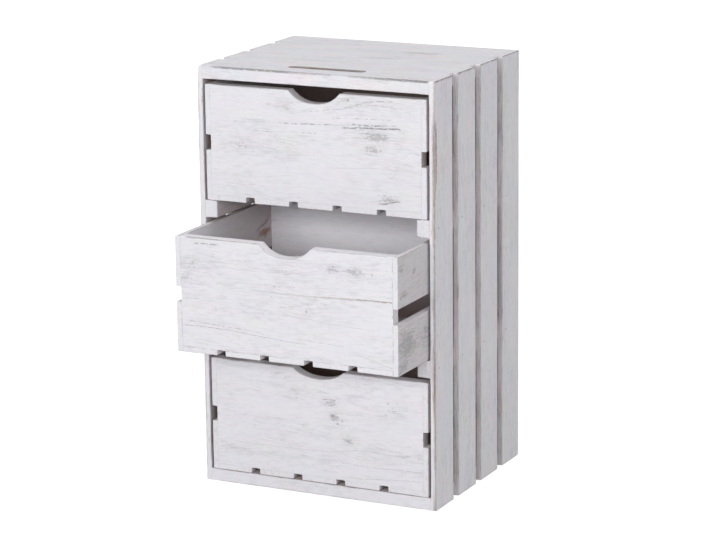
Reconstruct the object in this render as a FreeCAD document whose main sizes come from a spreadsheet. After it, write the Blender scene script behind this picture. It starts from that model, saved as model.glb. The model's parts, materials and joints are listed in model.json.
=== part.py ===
import FreeCAD, Part
import math
import os
import Sketcher

# Small crate-style chest with three drawers, made of sawn and nailed boards.
# Lengths are millimetres. The origin lies on the floor at the middle of the case,
# +X points to the right, the drawers open towards -Y and +Z points up.

SIZES = {
    # Case
    "case_width": 320.0,
    "case_depth": 258.0,
    "bay_height": 152.0,
    "end_board_thickness": 16.0,
    "side_slat_thickness": 7.0,
    "side_slat_gap": 15.3,
    "runner_width": 17.0,
    "runner_height": 22.0,
    "back_panel_thickness": 4.0,
    "grip_slot_length": 104.0,
    "grip_slot_width": 15.0,
    "grip_slot_setback": 37.0,
    "grip_slot_edge_radius": 1.5,
    # Drawers
    "drawer_side_clearance": 3.0,
    "drawer_top_clearance": 6.2,
    "drawer_back_clearance": 2.0,
    "drawer_lift": 0.3,
    "drawer_end_thickness": 15.0,
    "drawer_side_thickness": 7.0,
    "drawer_side_gap": 19.0,
    "bottom_slat_thickness": 7.0,
    "bottom_slat_gap": 12.0,
    "scoop_width": 75.0,
    "scoop_depth": 15.4,
    "scoop_shoulder_radius": 3.0,
    "scoop_edge_radius": 1.5,
    "middle_drawer_opening": 82.5,
    # Sawn boards and the brads that hold them
    "arris_chamfer": 1.0,
    "brad_length": 20.0,
    "brad_width": 1.3,
    "brad_thickness": 1.0,
    "brad_head_width": 2.4,
    "brad_head_height": 0.6,
    "brad_inset": 12.0,
    "back_brad_inset": 30.0,
    "bottom_brad_inset": 16.0,
}

# The bays from the floor up, each with its drawer
BAYS = ("bottom", "middle", "top")
SIDE_SLAT_COUNT = 4
BOTTOM_SLAT_COUNT = 5

# Sizes that follow from the driving ones
CASE_HEIGHT = (
    f"(2 * Sizes.end_board_thickness + {len(BAYS)} * Sizes.bay_height"
    f" + {len(BAYS) - 1} * Sizes.runner_height)"
)
INNER_WIDTH = "(Sizes.case_width - 2 * Sizes.side_slat_thickness)"
INNER_DEPTH = "(Sizes.case_depth - Sizes.back_panel_thickness)"
SIDE_SLAT_WIDTH = (
    f"((Sizes.case_depth - {SIDE_SLAT_COUNT - 1} * Sizes.side_slat_gap) / {SIDE_SLAT_COUNT})"
)
DRAWER_WIDTH = f"({INNER_WIDTH} - 2 * Sizes.drawer_side_clearance)"
DRAWER_DEPTH = f"({INNER_DEPTH} - Sizes.drawer_back_clearance)"
DRAWER_HEIGHT = "(Sizes.bay_height - Sizes.drawer_lift - Sizes.drawer_top_clearance)"
DRAWER_INNER_WIDTH = f"({DRAWER_WIDTH} - 2 * Sizes.drawer_side_thickness)"
DRAWER_END_HEIGHT = f"({DRAWER_HEIGHT} - Sizes.bottom_slat_thickness)"
DRAWER_SIDE_HEIGHT = f"(({DRAWER_HEIGHT} - Sizes.drawer_side_gap) / 2)"
BOTTOM_SLAT_WIDTH = (
    f"(({DRAWER_INNER_WIDTH} - {BOTTOM_SLAT_COUNT - 1} * Sizes.bottom_slat_gap)"
    f" / {BOTTOM_SLAT_COUNT})"
)

# Where the case and its inner faces start, and where a drawer starts
CASE_LEFT = "(-Sizes.case_width / 2)"
CASE_FRONT = "(-Sizes.case_depth / 2)"
INNER_LEFT = f"(-{INNER_WIDTH} / 2)"
INNER_RIGHT = f"({INNER_WIDTH} / 2)"
DRAWER_LEFT = f"(-{DRAWER_WIDTH} / 2)"

# The plane that holds a board's section, and whether its pad runs against the plane's normal
SECTION_PLANES = {
    "X": ("YZ_Plane", False),
    "Y": ("XZ_Plane", True),
    "Z": ("XY_Plane", False),
}


def bay_floor(bay):
    """Height of the surface that the drawer in this bay slides on."""
    level = BAYS.index(bay)
    return (
        f"(Sizes.end_board_thickness + {level} * (Sizes.bay_height + Sizes.runner_height))"
    )


def add_sizes(doc):
    sheet = doc.addObject("Spreadsheet::Sheet", "Sizes")
    for row, (name, value) in enumerate(SIZES.items(), start=1):
        cell = f"A{row}"
        sheet.set(cell, str(value))
        sheet.setAlias(cell, name)
    doc.recompute()


def measure(doc, expression):
    """The present value of a size that is written in terms of the sheet."""
    return float(doc.Sizes.evalExpression(expression))


def place(piece, position):
    for axis, expression in zip("xyz", position):
        piece.setExpression(f"Placement.Base.{axis}", expression)


def add_body(doc, label, position):
    body = doc.addObject("PartDesign::Body", label)
    body.Label = label
    place(body, position)
    return body


def add_sketch(body, role, name):
    sketch = body.newObject("Sketcher::SketchObject", name)
    plane = next(feature for feature in body.Origin.OriginFeatures if feature.Role == role)
    sketch.AttachmentSupport = [(plane, "")]
    sketch.MapMode = "FlatFace"
    return sketch


def vector(x, y):
    return FreeCAD.Vector(x, y, 0)


def line(x_start, y_start, x_end, y_end):
    return Part.LineSegment(vector(x_start, y_start), vector(x_end, y_end))


def arc(x_centre, y_centre, radius, start, end):
    """An arc that runs anticlockwise between two angles in radians."""
    circle = Part.Circle(vector(x_centre, y_centre), FreeCAD.Vector(0, 0, 1), radius)
    return Part.ArcOfCircle(circle, start, end)


def bind(sketch, constraint, name, expression):
    """Adds a named dimension and ties it to the sheet."""
    index = sketch.addConstraint(constraint)
    sketch.renameConstraint(index, name)
    sketch.setExpression(f"Constraints.{name}", expression)


def draw_section(doc, sketch, across, up):
    """A rectangle with its lower left corner at the sketch origin."""
    width = measure(doc, across)
    height = measure(doc, up)
    sketch.addGeometry(
        [
            line(0, 0, width, 0),
            line(width, 0, width, height),
            line(width, height, 0, height),
            line(0, height, 0, 0),
        ]
    )
    for first in range(4):
        sketch.addConstraint(Sketcher.Constraint("Coincident", first, 2, (first + 1) % 4, 1))
    for level in (0, 2):
        sketch.addConstraint(Sketcher.Constraint("Horizontal", level))
    for upright in (1, 3):
        sketch.addConstraint(Sketcher.Constraint("Vertical", upright))
    sketch.addConstraint(Sketcher.Constraint("Coincident", 0, 1, -1, 1))
    bind(sketch, Sketcher.Constraint("DistanceX", 0, 1, 0, 2, width), "across", across)
    bind(sketch, Sketcher.Constraint("DistanceY", 1, 1, 1, 2, height), "up", up)


def add_pad(body, sketch, length, reverse):
    pad = body.newObject("PartDesign::Pad", "Pad")
    pad.Profile = sketch
    pad.Reversed = reverse
    pad.setExpression("Length", length)
    sketch.Visibility = False
    return pad


def edges_where(feature, wanted):
    """Names of a feature's edges whose bounding boxes pass a test."""
    numbered = enumerate(feature.Shape.Edges, start=1)
    return [f"Edge{number}" for number, edge in numbered if wanted(edge.BoundBox)]


def round_edges(body, feature, wanted, radius):
    fillet = body.newObject("PartDesign::Fillet", "RoundedEdges")
    fillet.Base = (feature, edges_where(feature, wanted))
    fillet.setExpression("Radius", radius)
    return fillet


def chamfer_long_edges(body, pad, grain):
    """Takes the sharp arrises off the four edges that run along the grain."""

    def along_grain(box):
        spans = {"X": box.XLength, "Y": box.YLength, "Z": box.ZLength}
        return spans[grain] == max(spans.values())

    chamfer = body.newObject("PartDesign::Chamfer", "Arrises")
    chamfer.Base = (pad, edges_where(pad, along_grain))
    chamfer.setExpression("Size", "Sizes.arris_chamfer")
    return chamfer


def add_board(doc, label, grain, section, length, position):
    """A planed board with its long edges broken, its grain along one axis of the case."""
    body = add_body(doc, label, position)
    role, reverse = SECTION_PLANES[grain]
    sketch = add_sketch(body, role, "Section")
    draw_section(doc, sketch, *section)
    pad = add_pad(body, sketch, length, reverse)
    doc.recompute()
    chamfer_long_edges(body, pad, grain)
    return body


def add_side_slats(doc):
    """Upright slats that are nailed over the ends of the top and bottom boards."""
    slats = []
    section = ("Sizes.side_slat_thickness", SIDE_SLAT_WIDTH)
    for side, left in (("left", CASE_LEFT), ("right", INNER_RIGHT)):
        for number in range(SIDE_SLAT_COUNT):
            pitch = f"({SIDE_SLAT_WIDTH} + Sizes.side_slat_gap)"
            position = (left, f"{CASE_FRONT} + {number} * {pitch}", "0")
            label = f"{side}_side_slat_{number + 1}"
            slats.append(add_board(doc, label, "Z", section, CASE_HEIGHT, position))
    return slats


def draw_grip_slot(doc, sketch):
    """A long hole with round ends, centred on the width and set back from the front."""
    length = measure(doc, "Sizes.grip_slot_length")
    width = measure(doc, "Sizes.grip_slot_width")
    setback = measure(doc, "Sizes.grip_slot_setback")
    middle = measure(doc, INNER_WIDTH) / 2
    radius = width / 2
    reach = length / 2 - radius
    quarter = math.pi / 2
    sketch.addGeometry(
        [
            line(middle - reach, setback - radius, middle + reach, setback - radius),
            arc(middle + reach, setback, radius, -quarter, quarter),
            line(middle + reach, setback + radius, middle - reach, setback + radius),
            arc(middle - reach, setback, radius, quarter, 3 * quarter),
        ]
    )
    for first in range(4):
        sketch.addConstraint(Sketcher.Constraint("Tangent", first, 2, (first + 1) % 4, 1))
    sketch.addConstraint(Sketcher.Constraint("Horizontal", 0))
    sketch.addConstraint(Sketcher.Constraint("Equal", 1, 3))
    bind(sketch, Sketcher.Constraint("Radius", 1, radius), "end_radius", "Sizes.grip_slot_width / 2")
    straight = "(Sizes.grip_slot_length - Sizes.grip_slot_width)"
    bind(sketch, Sketcher.Constraint("DistanceX", 3, 3, 1, 3, 2 * reach), "straight", straight)
    start = f"({INNER_WIDTH} - {straight}) / 2"
    bind(sketch, Sketcher.Constraint("DistanceX", -1, 1, 3, 3, middle - reach), "start", start)
    offset = "Sizes.grip_slot_setback"
    bind(sketch, Sketcher.Constraint("DistanceY", -1, 1, 3, 3, setback), "setback", offset)


def add_top_board(doc):
    section = (INNER_DEPTH, "Sizes.end_board_thickness")
    height = f"{CASE_HEIGHT} - Sizes.end_board_thickness"
    position = (INNER_LEFT, CASE_FRONT, height)
    body = add_board(doc, "top_board", "X", section, INNER_WIDTH, position)
    sketch = add_sketch(body, "XY_Plane", "GripSlot")
    draw_grip_slot(doc, sketch)
    doc.recompute()
    solid_volume = body.Shape.Volume
    pocket = body.newObject("PartDesign::Pocket", "GripSlotCut")
    pocket.Profile = sketch
    pocket.Type = "ThroughAll"
    pocket.Reversed = True
    sketch.Visibility = False
    doc.recompute()
    if pocket.Shape.Volume >= solid_volume:
        raise RuntimeError("the grip slot cuts nothing")
    slot_length = measure(doc, "Sizes.grip_slot_length")
    slot_width = measure(doc, "Sizes.grip_slot_width")
    setback = measure(doc, "Sizes.grip_slot_setback")
    thickness = measure(doc, "Sizes.end_board_thickness")

    def on_slot_rim(box):
        beside_slot = abs(box.Center.y - setback) < slot_width
        return beside_slot and box.XLength < slot_length and box.ZLength < thickness / 2

    round_edges(body, pocket, on_slot_rim, "Sizes.grip_slot_edge_radius")
    return body


def add_bottom_board(doc):
    section = (INNER_DEPTH, "Sizes.end_board_thickness")
    position = (INNER_LEFT, CASE_FRONT, "0")
    return add_board(doc, "bottom_board", "X", section, INNER_WIDTH, position)


def add_runners(doc):
    """Cleats under the middle and the top drawer, one on each side."""
    runners = []
    section = ("Sizes.runner_width", "Sizes.runner_height")
    lefts = {"left": INNER_LEFT, "right": f"{INNER_RIGHT} - Sizes.runner_width"}
    for bay in BAYS[1:]:
        height = f"{bay_floor(bay)} - Sizes.runner_height"
        for side, left in lefts.items():
            label = f"{bay}_{side}_runner"
            position = (left, CASE_FRONT, height)
            runners.append(add_board(doc, label, "Y", section, INNER_DEPTH, position))
    return runners


def add_back_panel(doc):
    """Thin sheet let in between the rear side slats, over the ends of what it closes."""
    panel = doc.addObject("Part::Box", "back_panel")
    panel.Label = "back_panel"
    panel.setExpression("Length", INNER_WIDTH)
    panel.setExpression("Width", "Sizes.back_panel_thickness")
    panel.setExpression("Height", CASE_HEIGHT)
    place(panel, (INNER_LEFT, f"{CASE_FRONT} + {INNER_DEPTH}", "0"))
    return panel


def draw_scooped_front(doc, sketch):
    """Front outline: a scoop with a round bottom that flows into two round shoulders."""
    width = measure(doc, DRAWER_INNER_WIDTH)
    height = measure(doc, DRAWER_END_HEIGHT)
    half = measure(doc, "Sizes.scoop_width / 2")
    depth = measure(doc, "Sizes.scoop_depth")
    shoulder = measure(doc, "Sizes.scoop_shoulder_radius")
    # Both radii together follow from the scoop's half width and depth
    both_radii = "((Sizes.scoop_width / 2) ^ 2 + Sizes.scoop_depth ^ 2) / (2 * Sizes.scoop_depth)"
    bottom_radius = f"{both_radii} - Sizes.scoop_shoulder_radius"
    bottom = measure(doc, bottom_radius)
    turn = math.asin(half / (bottom + shoulder))
    quarter = math.pi / 2
    middle = width / 2
    sketch.addGeometry(
        [
            line(0, 0, width, 0),
            line(width, 0, width, height),
            line(width, height, middle + half, height),
            arc(middle + half, height - shoulder, shoulder, quarter, quarter + turn),
            arc(middle, height - depth + bottom, bottom, 3 * quarter - turn, 3 * quarter + turn),
            arc(middle - half, height - shoulder, shoulder, quarter - turn, quarter),
            line(middle - half, height, 0, height),
            line(0, height, 0, 0),
        ]
    )
    for first, end, second, start in ((0, 2, 1, 1), (1, 2, 2, 1), (6, 2, 7, 1), (7, 2, 0, 1)):
        sketch.addConstraint(Sketcher.Constraint("Coincident", first, end, second, start))
    for first, end, second, start in ((2, 2, 3, 1), (3, 2, 4, 2), (4, 1, 5, 1), (5, 2, 6, 1)):
        sketch.addConstraint(Sketcher.Constraint("Tangent", first, end, second, start))
    for level in (0, 2, 6):
        sketch.addConstraint(Sketcher.Constraint("Horizontal", level))
    for upright in (1, 7):
        sketch.addConstraint(Sketcher.Constraint("Vertical", upright))
    sketch.addConstraint(Sketcher.Constraint("Equal", 1, 7))
    sketch.addConstraint(Sketcher.Constraint("Equal", 3, 5))
    sketch.addConstraint(Sketcher.Constraint("Coincident", 0, 1, -1, 1))
    bind(sketch, Sketcher.Constraint("DistanceX", 0, 1, 0, 2, width), "width", DRAWER_INNER_WIDTH)
    bind(sketch, Sketcher.Constraint("DistanceY", 1, 1, 1, 2, height), "height", DRAWER_END_HEIGHT)
    start = f"({DRAWER_INNER_WIDTH} - Sizes.scoop_width) / 2"
    bind(sketch, Sketcher.Constraint("DistanceX", 7, 1, 6, 1, middle - half), "start", start)
    across = "Sizes.scoop_width"
    bind(sketch, Sketcher.Constraint("DistanceX", 6, 1, 2, 2, 2 * half), "across", across)
    radius = "Sizes.scoop_shoulder_radius"
    bind(sketch, Sketcher.Constraint("Radius", 3, shoulder), "shoulder", radius)
    bind(sketch, Sketcher.Constraint("Radius", 4, bottom), "bottom", bottom_radius)


def add_drawer_front(doc, name, origin):
    left, front, floor = origin
    position = (
        f"{left} + Sizes.drawer_side_thickness",
        front,
        f"{floor} + Sizes.bottom_slat_thickness",
    )
    body = add_body(doc, f"{name}_front", position)
    sketch = add_sketch(body, "XZ_Plane", "Outline")
    draw_scooped_front(doc, sketch)
    pad = add_pad(body, sketch, "Sizes.drawer_end_thickness", True)
    doc.recompute()
    middle_height = measure(doc, DRAWER_END_HEIGHT) / 2
    thickness = measure(doc, "Sizes.drawer_end_thickness")

    def on_upper_rim(box):
        return box.ZMin > middle_height and box.YLength < thickness / 2

    round_edges(body, pad, on_upper_rim, "Sizes.scoop_edge_radius")
    return body


def add_drawer_back(doc, name, origin):
    left, front, floor = origin
    position = (
        f"{left} + Sizes.drawer_side_thickness",
        f"{front} + {DRAWER_DEPTH} - Sizes.drawer_end_thickness",
        f"{floor} + Sizes.bottom_slat_thickness",
    )
    section = ("Sizes.drawer_end_thickness", DRAWER_END_HEIGHT)
    return add_board(doc, f"{name}_back", "X", section, DRAWER_INNER_WIDTH, position)


def add_drawer_sides(doc, name, origin):
    """Two side boards on each side, lapped over the ends of the front and the back."""
    left, front, floor = origin
    boards = []
    section = ("Sizes.drawer_side_thickness", DRAWER_SIDE_HEIGHT)
    sides = {"left": left, "right": f"{left} + {DRAWER_WIDTH} - Sizes.drawer_side_thickness"}
    rows = {"lower": floor, "upper": f"{floor} + {DRAWER_SIDE_HEIGHT} + Sizes.drawer_side_gap"}
    for side, side_left in sides.items():
        for row, row_floor in rows.items():
            label = f"{name}_{side}_{row}_side"
            position = (side_left, front, row_floor)
            boards.append(add_board(doc, label, "Y", section, DRAWER_DEPTH, position))
    return boards


def add_drawer_bottom(doc, name, origin):
    """Slats between the side boards, under the front and the back."""
    left, front, floor = origin
    slats = []
    section = (BOTTOM_SLAT_WIDTH, "Sizes.bottom_slat_thickness")
    for number in range(BOTTOM_SLAT_COUNT):
        pitch = f"({BOTTOM_SLAT_WIDTH} + Sizes.bottom_slat_gap)"
        slat_left = f"{left} + Sizes.drawer_side_thickness + {number} * {pitch}"
        label = f"{name}_bottom_slat_{number + 1}"
        position = (slat_left, front, floor)
        slats.append(add_board(doc, label, "Y", section, DRAWER_DEPTH, position))
    return slats


def make_brad(doc):
    """A brad with a T-shaped head, its head's face at the origin, pointing down."""
    half_head = measure(doc, "Sizes.brad_head_width / 2")
    half_shank = measure(doc, "Sizes.brad_width / 2")
    head = measure(doc, "Sizes.brad_head_height")
    length = measure(doc, "Sizes.brad_length")
    thickness = measure(doc, "Sizes.brad_thickness")
    outline = [
        (-half_head, 0),
        (half_head, 0),
        (half_head, -head),
        (half_shank, -head),
        (half_shank, -length),
        (-half_shank, -length),
        (-half_shank, -head),
        (-half_head, -head),
    ]
    points = [FreeCAD.Vector(across, -thickness / 2, up) for across, up in outline]
    face = Part.Face(Part.makePolygon(points + points[:1]))
    return face.extrude(FreeCAD.Vector(0, thickness, 0))


def add_brads(doc, label, nails):
    """One group of identical brads, each given by its head's place and its direction."""
    pattern = make_brad(doc)
    brads = []
    for position, direction in nails:
        brad = pattern.copy()
        turn = FreeCAD.Rotation(FreeCAD.Vector(0, 0, -1), FreeCAD.Vector(*direction))
        brad.Placement = FreeCAD.Placement(FreeCAD.Vector(*position), turn)
        brads.append(brad)
    group = doc.addObject("Part::Feature", label)
    group.Label = label
    group.Shape = Part.makeCompound(brads)
    group.Placement = FreeCAD.Placement()
    return group


def side_slat_centres(doc):
    front = measure(doc, CASE_FRONT)
    width = measure(doc, SIDE_SLAT_WIDTH)
    pitch = width + measure(doc, "Sizes.side_slat_gap")
    return [front + width / 2 + number * pitch for number in range(SIDE_SLAT_COUNT)]


def runner_middles(doc):
    half = measure(doc, "Sizes.runner_height / 2")
    return [measure(doc, bay_floor(bay)) - half for bay in BAYS[1:]]


def add_case_side_brads(doc, side, outer, inward):
    """Through every slat, two brads into each end board and one into each runner."""
    half_board = measure(doc, "Sizes.end_board_thickness / 2")
    height = measure(doc, CASE_HEIGHT)
    spread = measure(doc, f"{SIDE_SLAT_WIDTH} / 2 - Sizes.brad_inset")
    nails = []
    for centre in side_slat_centres(doc):
        for level in (half_board, height - half_board):
            for offset in (-spread, spread):
                nails.append(((outer, centre + offset, level), (inward, 0, 0)))
        for level in runner_middles(doc):
            nails.append(((outer, centre - spread, level), (inward, 0, 0)))
    return add_brads(doc, f"{side}_side_brads", nails)


def add_back_brads(doc):
    """A row of brads into each end board and one brad into the end of each runner."""
    half_board = measure(doc, "Sizes.end_board_thickness / 2")
    height = measure(doc, CASE_HEIGHT)
    rear = measure(doc, "Sizes.case_depth / 2")
    spread = measure(doc, f"{INNER_WIDTH} / 2 - Sizes.back_brad_inset")
    runner = measure(doc, f"{INNER_WIDTH} / 2 - Sizes.runner_width / 2")
    nails = []
    for level in (half_board, height - half_board):
        for across in (-spread, 0, spread):
            nails.append(((across, rear, level), (0, -1, 0)))
    for level in runner_middles(doc):
        for across in (-runner, runner):
            nails.append(((across, rear, level), (0, -1, 0)))
    return add_brads(doc, "back_brads", nails)


def add_drawer_brads(doc, name, origin):
    """Brads through the side boards and the bottom slats into the front and the back."""
    left, front, floor = (measure(doc, expression) for expression in origin)
    right = left + measure(doc, DRAWER_WIDTH)
    half_end = measure(doc, "Sizes.drawer_end_thickness / 2")
    depth = measure(doc, DRAWER_DEPTH)
    ends = (front + half_end, front + depth - half_end)
    side_inset = measure(doc, "Sizes.brad_inset")
    bottom_inset = measure(doc, "Sizes.bottom_brad_inset")
    board = measure(doc, DRAWER_SIDE_HEIGHT)
    upper = board + measure(doc, "Sizes.drawer_side_gap")
    slat = measure(doc, BOTTOM_SLAT_WIDTH)
    pitch = slat + measure(doc, "Sizes.bottom_slat_gap")
    first_slat = left + measure(doc, "Sizes.drawer_side_thickness")
    nails = []
    for end in ends:
        for row_floor in (floor, floor + upper):
            for level in (row_floor + side_inset, row_floor + board - side_inset):
                nails.append(((left, end, level), (1, 0, 0)))
                nails.append(((right, end, level), (-1, 0, 0)))
        for number in range(BOTTOM_SLAT_COUNT):
            slat_left = first_slat + number * pitch
            for across in (slat_left + bottom_inset, slat_left + slat - bottom_inset):
                nails.append(((across, end, floor), (0, 0, 1)))
    return add_brads(doc, f"{name}_brads", nails)


def add_drawer(doc, bay, opening):
    """One drawer, pulled out of its bay by the given opening."""
    name = f"{bay}_drawer"
    origin = (
        DRAWER_LEFT,
        f"({CASE_FRONT} - {opening})",
        f"({bay_floor(bay)} + Sizes.drawer_lift)",
    )
    return [
        add_drawer_front(doc, name, origin),
        add_drawer_back(doc, name, origin),
        *add_drawer_sides(doc, name, origin),
        *add_drawer_bottom(doc, name, origin),
        add_drawer_brads(doc, name, origin),
    ]


def add_case(doc):
    outer = measure(doc, "Sizes.case_width / 2")
    return [
        add_top_board(doc),
        add_bottom_board(doc),
        *add_side_slats(doc),
        *add_runners(doc),
        add_back_panel(doc),
        add_case_side_brads(doc, "left", -outer, 1),
        add_case_side_brads(doc, "right", outer, -1),
        add_back_brads(doc),
    ]


def check(doc, pieces):
    for thing in doc.Objects:
        if "Invalid" in thing.State or "Error" in thing.State:
            raise RuntimeError(f"{thing.Label} is {thing.State}")
    for piece in pieces:
        if piece.Shape.isNull() or not piece.Shape.isValid():
            raise RuntimeError(f"{piece.Label} has no valid shape")


def main():
    doc = FreeCAD.newDocument("chest_of_drawers")
    add_sizes(doc)
    pieces = add_case(doc)
    for bay in BAYS:
        opening = "Sizes.middle_drawer_opening" if bay == "middle" else "0"
        pieces += add_drawer(doc, bay, opening)
    doc.recompute()
    check(doc, pieces)
    os.makedirs("parts", exist_ok=True)
    for piece in pieces:
        piece.Shape.exportStep(os.path.join("parts", f"{piece.Label}.step"))


main()
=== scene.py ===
import json
import math
from functools import partialmethod

import bpy
import numpy as np
from mathutils import Matrix, Vector, noise


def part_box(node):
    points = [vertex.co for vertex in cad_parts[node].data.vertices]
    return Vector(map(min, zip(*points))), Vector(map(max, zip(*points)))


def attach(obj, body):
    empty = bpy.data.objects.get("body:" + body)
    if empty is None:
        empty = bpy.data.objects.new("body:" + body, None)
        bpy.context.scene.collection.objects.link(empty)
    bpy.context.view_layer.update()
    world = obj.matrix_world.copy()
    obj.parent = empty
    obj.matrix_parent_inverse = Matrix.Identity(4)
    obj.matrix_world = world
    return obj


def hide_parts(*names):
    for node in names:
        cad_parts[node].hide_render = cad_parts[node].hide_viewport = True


# Small crate-style chest with three drawers, its boards whitewashed and rubbed through.
# Lengths are metres, and MM turns millimetres into them.

MM = 0.001

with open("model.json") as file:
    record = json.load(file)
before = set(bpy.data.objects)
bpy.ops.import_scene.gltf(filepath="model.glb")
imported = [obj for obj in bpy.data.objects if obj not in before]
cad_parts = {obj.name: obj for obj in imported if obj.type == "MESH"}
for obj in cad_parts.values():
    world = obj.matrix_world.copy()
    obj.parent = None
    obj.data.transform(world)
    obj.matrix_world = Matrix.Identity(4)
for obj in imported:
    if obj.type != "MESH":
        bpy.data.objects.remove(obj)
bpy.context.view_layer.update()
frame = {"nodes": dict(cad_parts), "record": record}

# The photograph's camera, as fitted to the straight edges of the case
CAMERA_PLACE = (1.529, -3.116, 1.093)
CAMERA_AZIMUTH = 26.23
CAMERA_ELEVATION = 13.49
CAMERA_ROLL = -0.66
SENSOR_WIDTH_MM = 36.0
LENS_MM = 141.74

# The sides of a board's box
LEFT, RIGHT, FRONT, REAR, UNDER, OVER = range(6)

# The hand grip slot: its middle's setback from the front edge, its rounded rim, and the collar in
# which the lattice turns from round to square
SLOT_LENGTH = 104 * MM
SLOT_WIDTH = 15 * MM
SLOT_SETBACK = 37 * MM
SLOT_RIM = 1.5 * MM
SLOT_COLLAR = 12 * MM

# The finger scoops of the drawer fronts: flatter at the bottom than an arc where the flatness is
# above one, and how far down they bend the lattice
SCOOP_WIDTH = 72 * MM
SCOOP_DEPTHS = {
    "bottom_drawer_front": 11.4 * MM,
    "middle_drawer_front": 14.8 * MM,
    "top_drawer_front": 14.8 * MM,
}
SCOOP_SHOULDER = 3 * MM
SCOOP_FLATNESS = 1.2
SCOOP_FADE = 60 * MM

# Lattice of a board: lines near its ends, within a share of its length, steps between the rest,
# and lines by the slot and at a scoop's shoulder, of which the rest keep clear
EDGE_LINES_MM = (0, 0.4, 1.0, 1.8, 3.0, 5.0)
END_LINES_SHARE = 0.49
GRAIN_STEP = 8 * MM
WIDTH_STEP = 7 * MM
FRONT_STEP = 3.5 * MM
SLOT_LINES_MM = (0, 2, 4, 6, 7.5)
SHOULDER_SHARES = (-0.3, 0, 0.2, 0.4, 0.55, 0.7, 0.9, 1.3)
LINE_CLEARANCE = 0.3
LINE_DIGITS = 7

# Wear, with its lumps along and across the grain: edges rounder away from joints, up to a share
# of the thickness, edges that wander, and faces that sink and swell
TIGHT_RADIUS = 0.15 * MM
EDGE_RADIUS = 0.45 * MM
EDGE_WEAR = 0.7 * MM
EDGE_WEAR_LUMPS = (90 * MM, 30 * MM)
RADIUS_LIMIT = 0.45
EDGE_WANDER = 0.45 * MM
EDGE_WANDER_REACH = 12 * MM
EDGE_WANDER_LUMPS = (55 * MM, 200 * MM)
FACE_SINK = 0.04 * MM
FACE_SWELL = 0.12 * MM
FACE_LUMPS = (90 * MM, 18 * MM)

# Limits of the distances to edges and joints, what counts as touching, and the least divisor
EDGE_DISTANCE_LIMIT = 15 * MM
JOINT_REACH = 7 * MM
JOINT_TOUCH = 0.5 * MM
SIDE_TOUCH = 1e-7
TINY = 1e-9

# Random draws, and how far apart they set the boards in the noises of wear and wood
SEED = 11
WEAR_SPREAD = 50
WOOD_SPREAD = 3.0

# Paint and stain, with painted shade: on no side, such as in the slot, thin paint that is partly
# bare cut wood and partly painted shade; painted shade at the back of a drawer's sides and at the
# foot of its back board; and just inside the front
HIDDEN_WASH_AND_SHADE = 0.5
HIDDEN_STAIN_AND_SHADE = 0.35
INNER_SHADE_RISE = 0.5
FOOT_SHADE = 0.9
FOOT_SHARE = 0.55
PAINTED_LIP = 14 * MM
LIP_WASH = 0.25

# Wear of the slats' top ends and of the outer front edges, and how fast rubbed patches fade
END_WEAR = 0.6
END_REACH = 4.0 * MM
END_LEAST = 0.3
END_LUMPS = (20 * MM, 20 * MM, 400 * MM)
ARRIS_WEAR = {LEFT: 0.5, RIGHT: 1.1}
ARRIS_REACH = 6 * MM
ARRIS_LUMPS = (400 * MM, 400 * MM, 60 * MM)
PATCH_FALL = 1.2


def new_object(name, data):
    made = bpy.data.objects.new(name, data)
    bpy.context.scene.collection.objects.link(made)
    return made


# Boards

class Board:
    """A board of the frame: its box, and which way its grain, width and thickness run."""

    def __init__(self, node, body):
        low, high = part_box(node)
        self.node = node
        self.body = body
        self.low = np.array(low)
        self.size = np.array(high) - self.low
        self.thick, self.wide, self.grain = np.argsort(self.size)


def is_drawer_front(node):
    return node.endswith("_drawer_front")


def inner_side(node):
    """The side of a side slat or side board that faces into the case or the drawer."""
    return RIGHT if "left" in node else LEFT


def outer_side(node):
    return LEFT if "left" in node else RIGHT


def face_wash_and_shade(node):
    """How well each side of a board is covered, less on some as painted shade, in the order of the names of
    the sides.
    """
    wash_and_shade = [0.9] * 6
    if "side_slat" in node:
        wash_and_shade[inner_side(node)] = 0.6
        # Faces in the gaps between the slats are less painted, and darker still as painted shade in the gaps
        wash_and_shade[FRONT] = 0.9 if node.endswith("_1") else 0.66
        wash_and_shade[REAR] = 0.8 if node.endswith("_4") else 0.66
    elif "runner" in node:
        wash_and_shade = [0.75, 0.75, 0.97, 0.6, 0.7, 0.7]
    elif node in ("top_board", "bottom_board", "back_panel"):
        wash_and_shade[UNDER] = wash_and_shade[REAR] = 0.76
        wash_and_shade[FRONT] = 1.0
    elif is_drawer_front(node):
        wash_and_shade[OVER] = 1.0
    elif node.endswith("_side"):
        wash_and_shade[inner_side(node)] = 1.0
    elif node.endswith("_drawer_back"):
        wash_and_shade[FRONT] = 1.0
    elif "bottom_slat" in node:
        wash_and_shade = [0.7, 0.7, 0.95, 0.7, 0.8, 0.9]
    return wash_and_shade


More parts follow.
